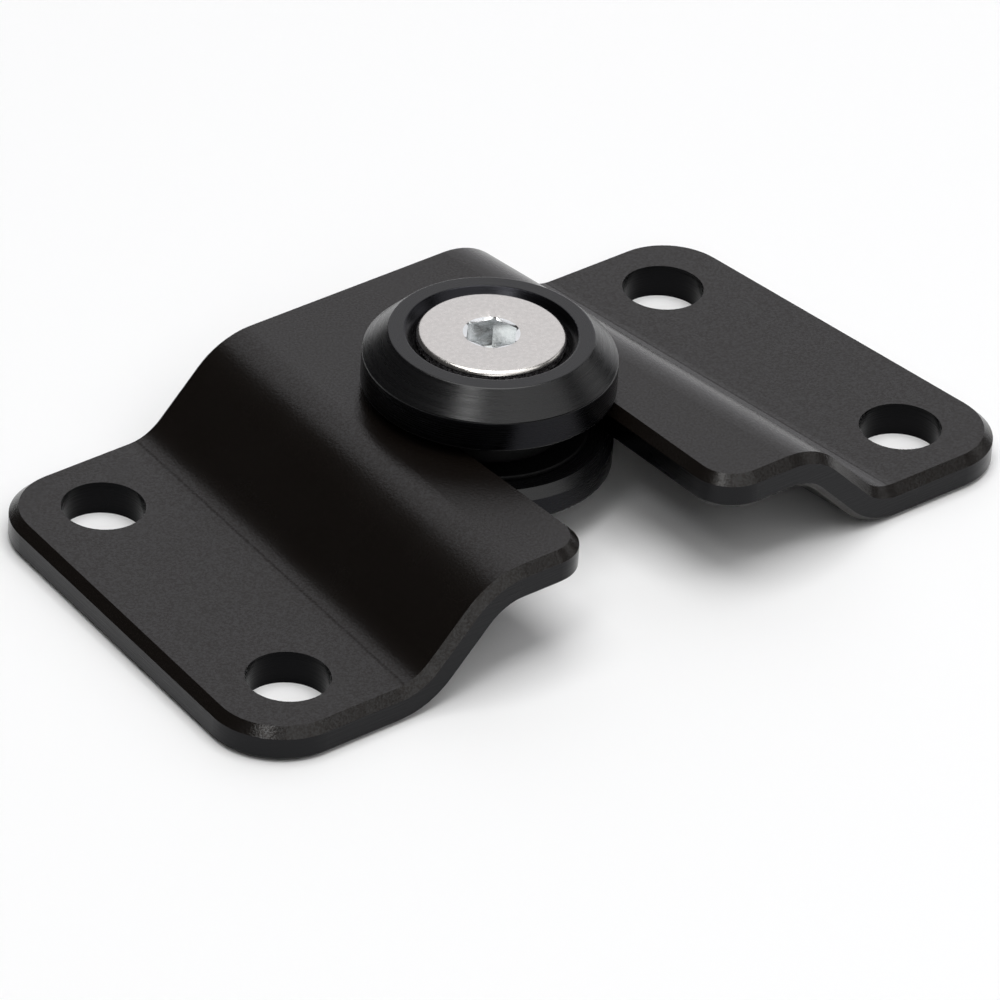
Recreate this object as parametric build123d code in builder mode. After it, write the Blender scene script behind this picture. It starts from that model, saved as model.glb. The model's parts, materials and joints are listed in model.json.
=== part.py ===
from build123d import *
import math
import os

os.makedirs("parts", exist_ok=True)

# A bent-plate bow roller bracket: two screw-down flanges, a raised bridge with
# an open-fronted slot, and a bobbin that turns and slides in that slot.
# Millimetres. X runs across the flanges, +Y to the closed back edge, +Z up.
# The origin is the middle of the footprint, on the mounting plane.

# Bracket
plate_thickness = 3.0
bracket_depth = 42.0            # front edge to back edge, along Y
step_height = 7.2               # rise from flange to bridge
splay_angle = 5.25              # each bend line and hole line opens to the front
web_angle = 45.0                # slope of the two webs
web_foot_distance = 22.4        # centre to the top corner of flange and web, square to the bend
inner_bend_radius = 4.5
hole_line_distance = 31.0       # centre to each line of mounting holes, square to that line
mount_hole_diameter = 7.0
side_margin = 7.6               # hole line to the outer edge
end_margin = 7.0                # hole centre to the front or back edge
corner_radius = 6.2
plate_chamfer = 0.78            # upper edge of the outline
underside_chamfer = 0.45
slot_width = 13.3
mouth_radius = 3.6              # rounded corners where the slot opens to the front
roller_offset = 1.4             # roller axis behind the middle of the plate

# Bobbin
disc_diameter = 21.2
cap_thickness = 4.8
cap_bevel = 2.1
base_thickness = 2.7
base_chamfer = 0.75
edge_round = 0.2
barrel_diameter = 10.0
flange_diameter = 14.0          # barrel nut's flange, let into the base
flange_thickness = 1.2
washer_diameter = 17.0
upper_washer_thickness = 0.8
lower_washer_thickness = 0.4
washer_chamfer = 0.1

# M6 countersunk screw with a 4 mm hexagon socket
screw_diameter = 6.0
screw_length = 12.0
head_sharp_diameter = 14.3      # cone diameter if the head had no rim
head_diameter = 12.4
socket_across_flats = 4.0
socket_depth = 2.5
socket_chamfer = 0.28
socket_turn = 47.0              # one corner of the hexagon, round from +X
head_round = 0.4
countersink_diameter = 14.4
screw_hole_diameter = 6.4

# Fits
slot_clearance = 0.05           # bearing ring to slot, each side
barrel_clearance = 0.05         # barrel to bearing ring and washers, radial
face_clearance = 0.02           # each face of a wear washer
seat_clearance = 0.05           # barrel nut to base, radial
thread_clearance = 0.03         # screw to barrel nut, radial
cone_clearance = 0.03           # screw head above its countersink

# Heights worked out from the above
bridge_underside = step_height
bridge_top = bridge_underside + plate_thickness
cap_underside = bridge_top + upper_washer_thickness + 2 * face_clearance
cap_top = cap_underside + cap_thickness
base_top = bridge_underside - lower_washer_thickness - 2 * face_clearance
base_underside = base_top - base_thickness
head_top = cap_top - (countersink_diameter - head_sharp_diameter) / 2 + cone_clearance
head_height = (head_sharp_diameter - screw_diameter) / 2

roller_axis = Axis((0, roller_offset, 0), (0, 0, 1))
roller_section = Plane(origin=(0, roller_offset, 0), x_dir=(1, 0, 0), z_dir=(0, -1, 0))


def level(height):
    """A horizontal sketch plane centred on the roller axis."""
    return Plane(origin=(0, roller_offset, height))


# Bracket: the right half is a bent strip run along its splayed bend lines,
# then the left half mirrors it and the plan outline trims both.
splay = math.radians(splay_angle)
half_depth = bracket_depth / 2
hole_row = half_depth - end_margin
edge_distance = hole_line_distance + side_margin
bend_allowance = plate_thickness / 2 * math.tan(math.radians(web_angle) / 2)
web_run = step_height / math.tan(math.radians(web_angle))
neutral_foot = web_foot_distance - bend_allowance
strip_reach = edge_distance + half_depth
bend_plane = Plane(
    origin=(0, 0, 0),
    x_dir=(math.cos(splay), math.sin(splay), 0),
    z_dir=(math.sin(splay), -math.cos(splay), 0),
)


def splayed_x(distance, y):
    """X at a given Y of a line that runs beside the right-hand bend."""
    return distance / math.cos(splay) - y * math.tan(splay)


with BuildPart() as bracket:
    with BuildSketch(bend_plane):
        with BuildLine():
            FilletPolyline(
                (-half_depth, bridge_top - plate_thickness / 2),
                (neutral_foot - web_run, bridge_top - plate_thickness / 2),
                (neutral_foot, plate_thickness / 2),
                (strip_reach, plate_thickness / 2),
                radius=inner_bend_radius + plate_thickness / 2,
            )
        trace(line_width=plate_thickness)
    extrude(amount=bracket_depth, both=True)
    split(bisect_by=Plane.YZ, keep=Keep.TOP)
    mirror(about=Plane.YZ)
    with BuildSketch() as outline:
        with BuildLine():
            Polyline(
                (-splayed_x(edge_distance, half_depth), half_depth),
                (splayed_x(edge_distance, half_depth), half_depth),
                (splayed_x(edge_distance, -half_depth), -half_depth),
                (-splayed_x(edge_distance, -half_depth), -half_depth),
                close=True,
            )
        make_face()
        fillet(outline.vertices(), radius=corner_radius)
        with Locations((0, roller_offset)):
            Circle(slot_width / 2, mode=Mode.SUBTRACT)
            Rectangle(
                slot_width,
                half_depth + roller_offset,
                align=(Align.CENTER, Align.MAX),
                mode=Mode.SUBTRACT,
            )
        mouth_corners = outline.vertices().filter_by(
            lambda corner: abs(abs(corner.X) - slot_width / 2) < 0.01 and corner.Y < -half_depth + 0.01
        )
        fillet(mouth_corners, radius=mouth_radius)
    extrude(amount=bridge_top, mode=Mode.INTERSECT)
    for side, length in ((1, plate_chamfer), (-1, underside_chamfer)):
        rims = bracket.faces().filter_by(lambda face: abs(face.normal_at().Z) < 0.01)
        skins = bracket.faces().filter_by(lambda face: side * face.normal_at().Z > 0.1)
        chamfer(rims.edges() & skins.edges(), length=length)
    mount_points = [
        (side * splayed_x(hole_line_distance, row), row)
        for side in (-1, 1)
        for row in (-hole_row, hole_row)
    ]
    with Locations(*[(x, y, plate_thickness) for x, y in mount_points]):
        Hole(mount_hole_diameter / 2, depth=plate_thickness)
bracket.part.label = "bracket"
export_step(bracket.part, "parts/bracket.step")

# Slot bearing: a plastic ring that rolls along the slot, with a thin wear
# washer above the bridge and another below it.
with BuildPart() as slot_bush:
    with BuildSketch(level(bridge_underside)):
        Circle(slot_width / 2 - slot_clearance)
        Circle(barrel_diameter / 2 + barrel_clearance, mode=Mode.SUBTRACT)
    extrude(amount=plate_thickness)
    chamfer(slot_bush.edges().filter_by(GeomType.CIRCLE), length=edge_round)
slot_bush.part.label = "slot_bush"
export_step(slot_bush.part, "parts/slot_bush.step")

wear_washers = {
    "upper_wear_washer": (bridge_top + face_clearance, upper_washer_thickness),
    "lower_wear_washer": (base_top + face_clearance, lower_washer_thickness),
}
for name, (seat, thickness) in wear_washers.items():
    with BuildPart() as wear_washer:
        with BuildSketch(level(seat)):
            Circle(washer_diameter / 2)
            Circle(barrel_diameter / 2 + barrel_clearance, mode=Mode.SUBTRACT)
        extrude(amount=thickness)
        outer_edges = wear_washer.edges().filter_by(GeomType.CIRCLE).group_by(SortBy.RADIUS)[-1]
        chamfer(outer_edges, length=washer_chamfer)
    wear_washer.part.label = name
    export_step(wear_washer.part, f"parts/{name}.step")

# Cap: the upper disc, bevelled outside and countersunk for the screw.
disc_radius = disc_diameter / 2
screw_hole_radius = screw_hole_diameter / 2
countersink_depth = (countersink_diameter - screw_hole_diameter) / 2
with BuildPart() as roller_cap:
    with BuildSketch(roller_section):
        with BuildLine():
            Polyline(
                (screw_hole_radius, cap_underside),
                (disc_radius, cap_underside),
                (disc_radius, cap_top - cap_bevel),
                (disc_radius - cap_bevel, cap_top),
                (countersink_diameter / 2, cap_top),
                (screw_hole_radius, cap_top - countersink_depth),
                close=True,
            )
        make_face()
    revolve(axis=roller_axis)
    rounded = roller_cap.edges().filter_by(GeomType.CIRCLE).filter_by(
        lambda edge: edge.radius > countersink_diameter / 2 - edge_round
    )
    fillet(rounded, radius=edge_round)
roller_cap.part.label = "roller_cap"
export_step(roller_cap.part, "parts/roller_cap.step")

# Base: the lower disc, bored for the barrel nut and recessed for its flange.
barrel_radius = barrel_diameter / 2
with BuildPart() as roller_base:
    with BuildSketch(level(base_underside)):
        Circle(disc_radius)
    extrude(amount=base_thickness)
    outer_edges = roller_base.edges().sort_by(Axis.Z)
    chamfer(outer_edges[-1], length=base_chamfer)
    fillet(outer_edges[0], radius=edge_round)
    with Locations(level(base_underside).rotated((180, 0, 0))):
        CounterBoreHole(
            radius=barrel_radius + seat_clearance,
            counter_bore_radius=flange_diameter / 2 + seat_clearance,
            counter_bore_depth=flange_thickness,
            depth=base_thickness,
        )
roller_base.part.label = "roller_base"
export_step(roller_base.part, "parts/roller_base.step")

# Barrel nut: it joins cap and base, carries the bearing ring and takes the
# screw's thread. The thread is a plain bore of the screw's diameter.
with BuildPart() as barrel_nut:
    with BuildSketch(level(base_underside)):
        Circle(flange_diameter / 2)
    extrude(amount=flange_thickness)
    with BuildSketch(level(base_underside)):
        Circle(barrel_radius)
    extrude(amount=cap_underside - base_underside)
    chamfer(barrel_nut.edges().sort_by(Axis.Z)[0], length=edge_round)
    with Locations(level(cap_underside)):
        Hole(screw_diameter / 2 + thread_clearance, depth=cap_underside - base_underside)
barrel_nut.part.label = "barrel_nut"
export_step(barrel_nut.part, "parts/barrel_nut.step")

# Pivot screw: flat head with a rounded rim and a hexagon socket.
rim_height = (head_sharp_diameter - head_diameter) / 2
with BuildPart() as pivot_screw:
    with BuildSketch(roller_section):
        with BuildLine():
            Polyline(
                (0, head_top),
                (head_diameter / 2, head_top),
                (head_diameter / 2, head_top - rim_height),
                (screw_diameter / 2, head_top - head_height),
                (screw_diameter / 2, head_top - screw_length),
                (0, head_top - screw_length),
                close=True,
            )
        make_face()
    revolve(axis=roller_axis)
    end_edges = pivot_screw.edges().filter_by(GeomType.CIRCLE).sort_by(Axis.Z)
    fillet(end_edges[-1], radius=head_round)
    chamfer(end_edges[0], length=edge_round)
    with BuildSketch(level(head_top)):
        RegularPolygon(socket_across_flats / 2, 6, major_radius=False, rotation=socket_turn)
    extrude(amount=-socket_depth, mode=Mode.SUBTRACT)
    mouth_edges = pivot_screw.edges().filter_by(GeomType.LINE).filter_by(Plane.XY).group_by(Axis.Z)[-1]
    chamfer(mouth_edges, length=socket_chamfer)
pivot_screw.part.label = "pivot_screw"
export_step(pivot_screw.part, "parts/pivot_screw.step")
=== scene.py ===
import json
import math

import bmesh
import bpy
from mathutils import Matrix, Vector


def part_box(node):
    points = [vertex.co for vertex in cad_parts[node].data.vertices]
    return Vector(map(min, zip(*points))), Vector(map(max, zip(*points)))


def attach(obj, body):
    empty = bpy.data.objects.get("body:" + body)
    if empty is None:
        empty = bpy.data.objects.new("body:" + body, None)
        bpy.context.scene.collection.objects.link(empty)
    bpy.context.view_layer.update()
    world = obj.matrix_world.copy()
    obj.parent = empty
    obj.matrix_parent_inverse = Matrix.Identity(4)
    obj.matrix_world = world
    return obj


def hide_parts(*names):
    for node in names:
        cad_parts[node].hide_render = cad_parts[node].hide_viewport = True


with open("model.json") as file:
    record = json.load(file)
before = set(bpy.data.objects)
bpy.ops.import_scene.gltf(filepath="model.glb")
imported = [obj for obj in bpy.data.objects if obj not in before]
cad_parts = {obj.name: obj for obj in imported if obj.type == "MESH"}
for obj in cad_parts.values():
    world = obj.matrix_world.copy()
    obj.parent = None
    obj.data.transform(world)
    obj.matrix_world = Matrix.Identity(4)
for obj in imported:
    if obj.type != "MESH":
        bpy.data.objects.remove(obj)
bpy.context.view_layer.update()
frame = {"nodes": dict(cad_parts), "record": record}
nodes = frame["nodes"]
record = frame["record"]
print("frame loaded:", len(nodes), "nodes")

# the roller's own axis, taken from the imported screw
screwLow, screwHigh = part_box("pivot_screw")
axisX = (screwLow.x + screwHigh.x) / 2
axisY = (screwLow.y + screwHigh.y) / 2


# material helpers: one function makes a shader, the others add nodes to it

midNoise = (0.3, 0.7)           # where most of a noise's values lie
fineNoise = (3.0, 0.6)          # detail and roughness of a fine grain
steelNoise = (4.0, 0.6)
sideLimits = (0.35, 0.2)        # uprightness where a side face begins, and where it is wholly one


def newMaterial(name):
    material = bpy.data.materials.new(name)
    material.use_nodes = True
    tree = material.node_tree
    tree.nodes.clear()
    output = tree.nodes.new("ShaderNodeOutputMaterial")
    shader = tree.nodes.new("ShaderNodeBsdfPrincipled")
    tree.links.new(shader.outputs["BSDF"], output.inputs["Surface"])
    return material, tree, shader


def addNode(tree, kind, **settings):
    node = tree.nodes.new("ShaderNode" + kind)
    for key, value in settings.items():
        setattr(node, key, value)
    return node


def feed(tree, socket, value):
    if isinstance(value, bpy.types.NodeSocket):
        tree.links.new(value, socket)
    else:
        socket.default_value = value


def compute(tree, operation, *values):
    node = addNode(tree, "Math", operation=operation)
    for socket, value in zip(node.inputs, values):
        feed(tree, socket, value)
    return node.outputs[0]


def fade(tree, value, start, end, low=0.0, high=1.0):
    # runs smoothly from low at start to high at end
    node = addNode(tree, "MapRange", interpolation_type="SMOOTHSTEP")
    limits = {"From Min": start, "From Max": end, "To Min": low, "To Max": high}
    feed(tree, node.inputs["Value"], value)
    for key, limit in limits.items():
        node.inputs[key].default_value = limit
    return node.outputs["Result"]


def objectPlace(tree):
    return addNode(tree, "TexCoord").outputs["Object"]


def split(tree, vector):
    node = addNode(tree, "SeparateXYZ")
    tree.links.new(vector, node.inputs[0])
    return node.outputs


def uprightness(tree):
    # 1 on level faces, 0 on side faces
    normal = split(tree, addNode(tree, "TexCoord").outputs["Normal"])
    return compute(tree, "ABSOLUTE", normal["Z"])


def noise(tree, vector, scale, detail=2.0, roughness=0.5):
    node = addNode(tree, "TexNoise")
    tree.links.new(vector, node.inputs["Vector"])
    node.inputs["Scale"].default_value = scale
    node.inputs["Detail"].default_value = detail
    node.inputs["Roughness"].default_value = roughness
    return node.outputs["Fac"]


def stretched(tree, vector, stretch):
    node = addNode(tree, "Mapping")
    tree.links.new(vector, node.inputs["Vector"])
    node.inputs["Scale"].default_value = stretch
    return node.outputs["Vector"]


def blendColour(tree, factor, first, second):
    node = addNode(tree, "Mix", data_type="RGBA")
    feed(tree, node.inputs[0], factor)
    for index, colour in ((6, first), (7, second)):
        feed(tree, node.inputs[index], (*colour, 1) if isinstance(colour, tuple) else colour)
    return node.outputs[2]


def addRise(tree, shader, height):
    # height is in metres
    bump = addNode(tree, "Bump")
    bump.inputs["Strength"].default_value = 1.0
    bump.inputs["Distance"].default_value = 1.0
    tree.links.new(height, bump.inputs["Height"])
    tree.links.new(bump.outputs["Normal"], shader.inputs["Normal"])


def dress(name, material):
    mesh = nodes[name].data
    mesh.materials.clear()
    mesh.materials.append(material)


# black anodised plate: finely blasted skins, sheared edges with faint lines
# along them, painted shade that makes the side faces and bore walls reflect less, and the mark a press
# brake leaves by a bend

plateLook = {
    "dyeDark": (0.0030, 0.0019, 0.0012),
    "dyeLight": (0.0105, 0.0080, 0.0066),
    # painted shade: side faces reflect less than the skins, and bore walls less still
    "edgePaintedShade": (0.021, 0.021, 0.022),
    "borePaintedShade": (0.008, 0.008, 0.0085),
    "boreMargin": (1.02, 1.01),     # bore radii at which the painted shade on the wall begins and is full
    "roughness": (0.22, 0.28),
    "cloudScale": 90,
    "speck": (0.35, 0.65),
    "pitDullness": 0.50,
    "markDullness": 0.30,
    "grainScale": 4800,
    "grainHeight": 0.000020,
    "edgeLines": (350, 350, 8500),
    "edgeLineHeight": 0.000020,
    "splay": 5.25,
    "pressMark": 0.02360,           # from the centre, square to the bend
    "pressMarkWidth": 0.00022,
    "pressMarkLevel": (0.8, 0.95),  # it fades out on the chamfers
    "pressMarkDepth": 0.000016,
}


def footHoles(splay):
    # the two bores of each foot, as X, Y and radius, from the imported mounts
    lean = math.radians(splay)
    holes = []
    for mount in record["mounts"]:
        if mount["kind"] != "bolt_pattern":
            continue
        x, y, _ = mount["pos_m"]
        half = mount["dims"]["pcd_mm"] / 2000
        turn = math.copysign(lean, x)
        radius = mount["dims"]["hole_r_mm"] / 1000
        for way in (-1, 1):
            holes.append((x - way * half * math.sin(turn), y + way * half * math.cos(turn), radius))
    return holes


def anodisedPlate(look):
    material, tree, shader = newMaterial("anodisedPlate")
    place = objectPlace(tree)
    parts = split(tree, place)
    x, y = parts["X"], parts["Y"]
    upright = uprightness(tree)
    edge = fade(tree, upright, *sideLimits)

    flat = addNode(tree, "CombineXYZ")
    tree.links.new(x, flat.inputs["X"])
    tree.links.new(y, flat.inputs["Y"])
    bore = 0.0
    for holeX, holeY, radius in footHoles(look["splay"]):
        reach = addNode(tree, "VectorMath", operation="DISTANCE")
        tree.links.new(flat.outputs[0], reach.inputs[0])
        reach.inputs[1].default_value = (holeX, holeY, 0)
        margins = [radius * margin for margin in look["boreMargin"]]
        bore = compute(tree, "MAXIMUM", fade(tree, reach.outputs["Value"], *margins), bore)

    grain = noise(tree, place, look["grainScale"], *fineNoise)
    clouds = noise(tree, place, look["cloudScale"], 3.0)
    dye = blendColour(tree, fade(tree, grain, *look["speck"]), look["dyeDark"], look["dyeLight"])
    # painted shade: side faces, and bore walls more so, get a dim reflective colour instead of the dye
    paintedShade = blendColour(tree, bore, look["edgePaintedShade"], look["borePaintedShade"])
    feed(tree, shader.inputs["Base Color"], blendColour(tree, edge, dye, paintedShade))
    feed(tree, shader.inputs["Roughness"], fade(tree, clouds, *midNoise, *look["roughness"]))

    # the mark runs beside each bend, so it follows the splay
    lean = math.radians(look["splay"])
    across = compute(tree, "MULTIPLY", compute(tree, "ABSOLUTE", x), math.cos(lean))
    across = compute(tree, "ADD", across, compute(tree, "MULTIPLY", y, math.sin(lean)))
    away = compute(tree, "ABSOLUTE", compute(tree, "SUBTRACT", across, look["pressMark"]))
    mark = fade(tree, away, look["pressMarkWidth"], 0.0)
    mark = compute(tree, "MULTIPLY", mark, fade(tree, upright, *look["pressMarkLevel"]))

    # a little less shine in the blasted pits and along the press mark
    dull = fade(tree, grain, *look["speck"], 0.0, look["pitDullness"])
    dull = compute(tree, "ADD", dull, compute(tree, "MULTIPLY", mark, look["markDullness"]))
    # side faces are made wholly metallic, so the painted shade colour sets their reflection
    feed(tree, shader.inputs["Metallic"], compute(tree, "MAXIMUM", edge, dull))
    lines = noise(tree, stretched(tree, place, look["edgeLines"]), 1.0)
    skin = compute(tree, "SUBTRACT", 1.0, edge)
    grainRise = compute(tree, "MULTIPLY", compute(tree, "MULTIPLY", grain, skin), look["grainHeight"])
    lineRise = compute(tree, "MULTIPLY", compute(tree, "MULTIPLY", lines, edge), look["edgeLineHeight"])
    markDrop = compute(tree, "MULTIPLY", compute(tree, "MULTIPLY", mark, skin), -look["pressMarkDepth"])
    rise = compute(tree, "ADD", compute(tree, "ADD", grainRise, lineRise), markDrop)
    addRise(tree, shader, rise)
    return material


# turned discs: rings left by the tool, and painted shade on the countersink and walls, which reflect less
# than the faces

discLook = {
    "dyeDark": (0.0030, 0.0030, 0.0033),
    "dyeLight": (0.0065, 0.0065, 0.0070),
    # painted shade: the countersink and the side walls reflect less than the faces
    "recessPaintedShade": (0.022, 0.022, 0.025),
    "wallPaintedShade": (0.016, 0.016, 0.018),
    "dullness": 0.16,
    "roughness": (0.24, 0.30),
    "ringScale": 5200,
    "ringHeight": 0.0000011,
    "grainScale": 8200,
    "grainHeight": 0.000007,
    "capRecess": 0.00722,       # just outside the countersink
    "baseRecess": 0.001,        # inside the bore, so the base has none
    "recessEdge": 0.00004,
}


def turnedCoordinates(tree):
    # distance from the roller axis, and a place that is the same all round it
    place = split(tree, objectPlace(tree))
    overX = compute(tree, "SUBTRACT", place["X"], axisX)
    overY = compute(tree, "SUBTRACT", place["Y"], axisY)
    squares = compute(tree, "ADD", compute(tree, "POWER", overX, 2.0), compute(tree, "POWER", overY, 2.0))
    radius = compute(tree, "SQRT", squares)
    rings = addNode(tree, "CombineXYZ")
    tree.links.new(radius, rings.inputs["X"])
    tree.links.new(place["Z"], rings.inputs["Z"])
    return radius, rings.outputs[0]


def anodisedDisc(name, look, recessRadius):
    material, tree, shader = newMaterial(name)
    radius, ringPlace = turnedCoordinates(tree)
    rings = noise(tree, ringPlace, look["ringScale"])
    grain = noise(tree, objectPlace(tree), look["grainScale"], *fineNoise)
    recess = fade(tree, radius, recessRadius + look["recessEdge"], recessRadius)
    wall = fade(tree, uprightness(tree), *sideLimits)
    dye = blendColour(tree, fade(tree, grain, *midNoise), look["dyeDark"], look["dyeLight"])
    # painted shade: countersink and walls get a dim reflective colour instead of the dye
    paintedShade = blendColour(tree, recess, look["wallPaintedShade"], look["recessPaintedShade"])
    paintedShadeMask = compute(tree, "MAXIMUM", recess, wall)
    feed(tree, shader.inputs["Base Color"], blendColour(tree, paintedShadeMask, dye, paintedShade))
    feed(tree, shader.inputs["Metallic"], compute(tree, "MAXIMUM", paintedShadeMask, look["dullness"]))
    feed(tree, shader.inputs["Roughness"], fade(tree, rings, *midNoise, *look["roughness"]))
    ringRise = compute(tree, "MULTIPLY", rings, look["ringHeight"])
    grainRise = compute(tree, "MULTIPLY", grain, look["grainHeight"])
    addRise(tree, shader, compute(tree, "ADD", ringRise, grainRise))
    return material


# bare stainless: a satin face, a rolled rim and a smooth broached socket, its lighter colour a painted
# highlight

steelLook = {
    "face": {"dark": (0.684, 0.658, 0.628), "light": (0.742, 0.714, 0.682), "roughness": (0.22, 0.28),
             "scale": 2600, "height": 0.0000012},
    "rim": {"dark": (0.42, 0.38, 0.36), "light": (0.96, 0.94, 0.92), "roughness": (0.22, 0.40),
            "scale": 3600, "height": 0.00012},
    # the socket's colour is lighter than the face's: a painted highlight on its walls; only its smoother
    # finish is real
    "socket": {"dark": (0.84, 0.86, 0.86), "light": (0.93, 0.94, 0.94), "roughness": (0.15, 0.22),
               "scale": 1500, "height": 0.0000010},
    "thread": {"dark": (0.42, 0.41, 0.40), "light": (0.60, 0.59, 0.57), "roughness": (0.25, 0.35),
               "scale": 3000, "height": 0.0000020},
}
steelSpread = (0.35, 0.65)      # how sharply the dark and light spots part


def stainless(name, look):
    material, tree, shader = newMaterial(name)
    mottle = noise(tree, objectPlace(tree), look["scale"], *steelNoise)
    spread = fade(tree, mottle, *steelSpread)
    feed(tree, shader.inputs["Base Color"], blendColour(tree, spread, look["dark"], look["light"]))
    shader.inputs["Metallic"].default_value = 1.0
    feed(tree, shader.inputs["Roughness"], fade(tree, mottle, *midNoise, *look["roughness"]))
    addRise(tree, shader, compute(tree, "MULTIPLY", mottle, look["height"]))
    return material


# moulded black acetal for the bearing ring and the wear washers, made darker and duller than the plastic
# itself, as painted shade between the discs

acetalLook = {
    # painted shade: nearly black and with little gloss, so the rings pass for the shade between the discs
    "dark": (0.0012, 0.0012, 0.0013),
    "light": (0.0030, 0.0030, 0.0032),
    "roughness": (0.45, 0.6),
    "gloss": 0.2,
    "scale": 1800,
    "height": 0.000004,
}


def acetal(look):
    material, tree, shader = newMaterial("acetal")
    mottle = noise(tree, objectPlace(tree), look["scale"], 3.0)
    feed(tree, shader.inputs["Base Color"], blendColour(tree, mottle, look["dark"], look["light"]))
    feed(tree, shader.inputs["Roughness"], fade(tree, mottle, *midNoise, *look["roughness"]))
    shader.inputs["Specular IOR Level"].default_value = look["gloss"]
    addRise(tree, shader, compute(tree, "MULTIPLY", mottle, look["height"]))
    return material


steel = {name: stainless("stainless_" + name, look) for name, look in steelLook.items()}
dress("bracket", anodisedPlate(plateLook))
dress("roller_cap", anodisedDisc("anodisedCap", discLook, discLook["capRecess"]))
dress("roller_base", anodisedDisc("anodisedBase", discLook, discLook["baseRecess"]))
dress("barrel_nut", steel["thread"])
plastic = acetal(acetalLook)
for ring in ("slot_bush", "upper_wear_washer", "lower_wear_washer"):
    dress(ring, plastic)
print("materials on")


# the screw in full: flat head with a rolled, knurled rim, a hexagon socket
# with a lead-in and a drill point, and ridges for the thread

headRadius = (screwHigh.x - screwLow.x) / 2
screwShape = {
    "flats": 0.0040,            # across the socket's flats
    "turn": 47.0,               # one corner of the socket, round from +X
    "cuts": 19,                 # extra points along each side of the hexagon
    "leadDepth": 0.00013,
    "leadRadius": 0.00237,
    "socketDepth": 0.0026,
    "drillPoint": 0.0006,
    "drillShrink": 0.86,        # drill point's mouth, as a share of the hexagon
    "tipShrink": 0.05,          # and its tip, as a share of that mouth
    "faceRing": 1.6,            # a ring on the face, in lead-in radii
    "faceRadius": headRadius,
    "rimRound": 0.00045,
    "rimSteps": 5,
    "rimHeight": 0.00095,
    "knurlShrink": 0.982,
    "headHeight": 0.00415,
    "shankRadius": 0.0030,
    "rootRadius": 0.00262,
    "pitch": 0.0010,
    "threads": 7,
    "tolerance": 0.000001,      # points this close are one point
    "smoothAngle": 32,
}


def nextRing(centre, fromRadius, toRadius, rise):
    bpy.ops.mesh.extrude_edges_move(TRANSFORM_OT_translate={"value": (0, 0, rise)})
    grow = toRadius / fromRadius
    bpy.ops.transform.resize(value=(grow, grow, 1), center_override=centre)


def closeRing():
    bpy.ops.mesh.extrude_edges_move(TRANSFORM_OT_translate={"value": (0, 0, 0)})
    bpy.ops.mesh.merge(type="CENTER")


def pick(piece, mode, test):
    # selects the vertices or faces whose middle passes the test, then stays in edit mode
    bpy.ops.mesh.select_mode(type=mode)
    bpy.ops.mesh.select_all(action="DESELECT")
    mesh = bmesh.from_edit_mesh(piece.data)
    for part in (mesh.verts if mode == "VERT" else mesh.faces):
        spot = part.co if mode == "VERT" else part.calc_center_median()
        if test(spot):
            part.select_set(True)
    mesh.select_flush_mode()
    bmesh.update_edit_mesh(piece.data)


def fromAxis(spot):
    return math.hypot(spot.x - axisX, spot.y - axisY)


def rimProfile(shape, top):
    # radius and height of each ring from the lead-in out and down to the tip
    edge = shape["faceRadius"] - shape["rimRound"]
    rows = [(shape["leadRadius"] * shape["faceRing"], top), (edge, top)]
    for step in range(1, shape["rimSteps"] + 1):
        turn = math.radians(90) * step / shape["rimSteps"]
        rows.append((edge + shape["rimRound"] * math.sin(turn),
                     top - shape["rimRound"] * (1 - math.cos(turn))))
    rows.append((shape["faceRadius"], top - shape["rimHeight"]))
    rows.append((shape["shankRadius"], top - shape["headHeight"]))
    level = top - shape["headHeight"]
    for _ in range(shape["threads"]):
        rows.append((shape["rootRadius"], level - shape["pitch"] * 0.5))
        rows.append((shape["shankRadius"], level - shape["pitch"]))
        level -= shape["pitch"]
    rows.append((shape["rootRadius"], screwLow.z))
    return rows


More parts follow.
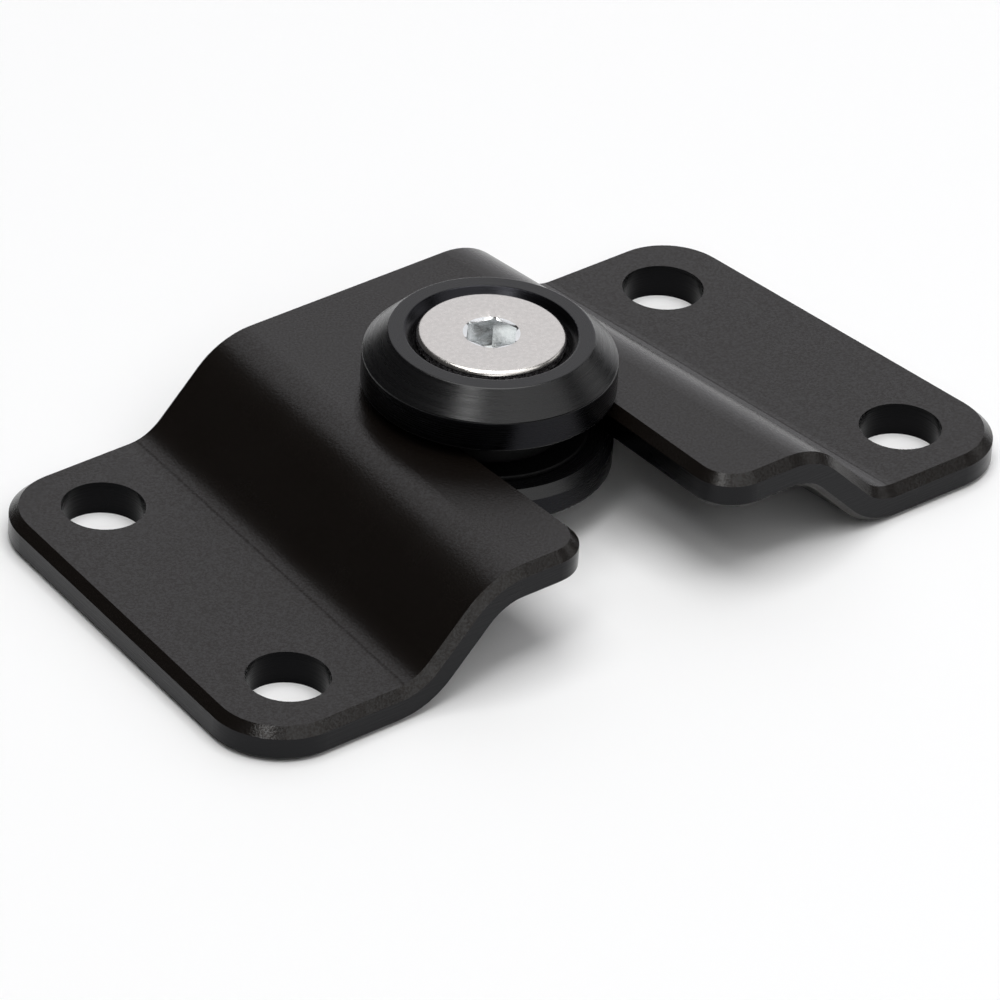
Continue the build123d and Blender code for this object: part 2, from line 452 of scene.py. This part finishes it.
def makeScrew(shape):
    top = screwHigh.z
    centre = (axisX, axisY, top)
    corner = shape["flats"] / 2 / math.cos(math.radians(30))
    # a new circle's first point is on +Y, hence the quarter turn back
    bpy.ops.object.select_all(action="DESELECT")
    bpy.ops.mesh.primitive_circle_add(
        vertices=6, radius=corner, location=(axisX, axisY, top - shape["leadDepth"]),
        rotation=(0, 0, math.radians(shape["turn"] - 90)))
    screw = bpy.context.object
    screw.name = "socket_screw"
    bpy.ops.object.transform_apply(location=True, rotation=True, scale=True)
    bpy.ops.object.mode_set(mode="EDIT")
    bpy.ops.mesh.select_all(action="SELECT")
    bpy.ops.mesh.subdivide(number_cuts=shape["cuts"])

    # lead-in: the hexagon opens into a circle at the face
    bpy.ops.mesh.extrude_edges_move(TRANSFORM_OT_translate={"value": (0, 0, shape["leadDepth"])})
    bpy.ops.transform.tosphere(value=1.0)
    mesh = bmesh.from_edit_mesh(screw.data)
    radius = max(fromAxis(v.co) for v in mesh.verts if v.select)
    grow = shape["leadRadius"] / radius
    bpy.ops.transform.resize(value=(grow, grow, 1), center_override=centre)

    # out over the face, round the rim, down the cone and along the shank
    radius, height = shape["leadRadius"], top
    for nextRadius, nextHeight in rimProfile(shape, top):
        nextRing(centre, radius, nextRadius, nextHeight - height)
        radius, height = nextRadius, nextHeight
    closeRing()

    # down into the socket and to its drill point
    near = shape["tolerance"]
    pick(screw, "VERT", lambda spot: abs(spot.z - top + shape["leadDepth"]) < near
         and fromAxis(spot) < shape["leadRadius"])
    nextRing(centre, 1.0, 1.0, shape["leadDepth"] - shape["socketDepth"])
    nextRing(centre, 1.0, shape["drillShrink"], 0)
    nextRing(centre, 1.0, shape["tipShrink"], -shape["drillPoint"])
    closeRing()

    # knurl: every second line of the rim is pressed in
    rimTop = top - shape["rimRound"]
    rimFoot = top - shape["rimHeight"]

    def onRim(spot):
        return rimFoot - near < spot.z < rimTop + near and fromAxis(spot) > shape["faceRadius"] - near

    def lineAngle(spot):
        return round(math.atan2(spot.y - axisY, spot.x - axisX), 4)

    lines = {lineAngle(vert.co) for vert in bmesh.from_edit_mesh(screw.data).verts if onRim(vert.co)}
    pressed = sorted(lines)[::2]
    pick(screw, "VERT", lambda spot: onRim(spot) and lineAngle(spot) in pressed)
    shrink = shape["knurlShrink"]
    bpy.ops.transform.resize(value=(shrink, shrink, 1), center_override=centre)
    print("screw knurl:", len(pressed), "of", len(lines), "lines pressed in")

    bpy.ops.mesh.select_all(action="SELECT")
    bpy.ops.mesh.remove_doubles(threshold=near)
    bpy.ops.mesh.normals_make_consistent(inside=False)

    for finish in ("face", "rim", "socket", "thread"):
        screw.data.materials.append(steel[finish])
    zones = {
        1: lambda spot: rimFoot < spot.z < rimTop and fromAxis(spot) > shape["leadRadius"],
        2: lambda spot: top - shape["headHeight"] < spot.z < top - near
        and fromAxis(spot) < shape["leadRadius"],
        3: lambda spot: spot.z < top - shape["headHeight"],
    }
    for index, zone in zones.items():
        pick(screw, "FACE", zone)
        screw.active_material_index = index
        bpy.ops.object.material_slot_assign()
    bpy.ops.object.mode_set(mode="OBJECT")
    bpy.ops.object.shade_smooth_by_angle(angle=math.radians(shape["smoothAngle"]))
    return screw


screw = makeScrew(screwShape)
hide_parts("pivot_screw")
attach(screw, "roller")
print("screw made:", len(screw.data.polygons), "faces")


# studio: pale floor, weak even fill and soft panels, whose azimuths run round from +X

floorLook = {"colour": (0.92, 0.92, 0.92), "half": 3.0, "roughness": 0.9}
fillStrength = 0.04
bpy.ops.object.select_all(action="DESELECT")
bpy.ops.mesh.primitive_plane_add(size=2 * floorLook["half"], location=(0, 0, 0))
floor = bpy.context.object
floor.name = "floor"
floorMaterial, _, floorShader = newMaterial("studioFloor")
floorShader.inputs["Base Color"].default_value = (*floorLook["colour"], 1)
floorShader.inputs["Roughness"].default_value = floorLook["roughness"]
floor.data.materials.append(floorMaterial)

world = bpy.data.worlds.new("studio")
world.use_nodes = True
world.node_tree.nodes["Background"].inputs["Color"].default_value = (1, 1, 1, 1)
world.node_tree.nodes["Background"].inputs["Strength"].default_value = fillStrength
bpy.context.scene.world = world

wattsPerArea = 4                # an area light's watts for each square metre and unit of radiance
panels = {
    "backPanel": {"azimuth": 42, "elevation": 30, "distance": 0.9, "size": (1.25, 1.1), "radiance": 0.64,
                  "tint": (0.965, 0.962, 1.0)},
    "keyPanel": {"azimuth": 206, "elevation": 56, "distance": 0.8, "size": (0.17, 0.17), "radiance": 5.2},
    "frontPanel": {"azimuth": -77, "elevation": 50, "distance": 1.0, "size": (1.0, 0.6), "radiance": 0.88},
    "rightPanel": {"azimuth": -17, "elevation": 24, "distance": 1.0, "size": (0.4, 0.3), "radiance": 0.7},
    "lowPanel": {"azimuth": 239, "elevation": 30, "distance": 1.0, "size": (0.42, 0.34), "radiance": 1.3},
    "topPanel": {"azimuth": 0, "elevation": 90, "distance": 1.0, "size": (0.8, 0.8), "radiance": 3.0},
}


def direction(azimuth, elevation):
    a, e = math.radians(azimuth), math.radians(elevation)
    return Vector((math.cos(a) * math.cos(e), math.sin(a) * math.cos(e), math.sin(e)))


for name, panel in panels.items():
    lamp = bpy.data.lights.new(name, "AREA")
    lamp.shape = "RECTANGLE"
    lamp.size, lamp.size_y = panel["size"]
    lamp.color = panel.get("tint", (1, 1, 1))
    lamp.energy = wattsPerArea * panel["radiance"] * lamp.size * lamp.size_y
    lampObject = bpy.data.objects.new(name, lamp)
    bpy.context.scene.collection.objects.link(lampObject)
    away = direction(panel["azimuth"], panel["elevation"])
    lampObject.location = away * panel["distance"]
    lampObject.rotation_euler = away.to_track_quat("Z", "Y").to_euler()


# camera: a long lens from the front left, leaning a little; its azimuth is from the front

shot = {
    "azimuth": -40.90,
    "elevation": 33.43,
    "roll": -3.63,
    "distance": 0.7471,
    "lens": 326.9,
    "target": (-0.00237, -0.00371, 0.003),
    "sensor": 36,
    "clip": (0.01, 20),
}
cameraData = bpy.data.cameras.new("camera")
cameraData.sensor_width = shot["sensor"]
cameraData.lens = shot["lens"]
cameraData.clip_start, cameraData.clip_end = shot["clip"]
camera = bpy.data.objects.new("camera", cameraData)
bpy.context.scene.collection.objects.link(camera)
a, e, r = (math.radians(shot[k]) for k in ("azimuth", "elevation", "roll"))
back = Vector((math.sin(a) * math.cos(e), -math.cos(a) * math.cos(e), math.sin(e)))
side = Vector((math.cos(a), math.sin(a), 0))
up = back.cross(side)
turnedSide = side * math.cos(r) - up * math.sin(r)
turnedUp = side * math.sin(r) + up * math.cos(r)
axes = Matrix((turnedSide, turnedUp, back)).transposed().to_4x4()
camera.matrix_world = Matrix.Translation(Vector(shot["target"]) + back * shot["distance"]) @ axes
bpy.context.scene.camera = camera
bpy.context.scene.view_settings.view_transform = "Standard"
print("camera and light ready")
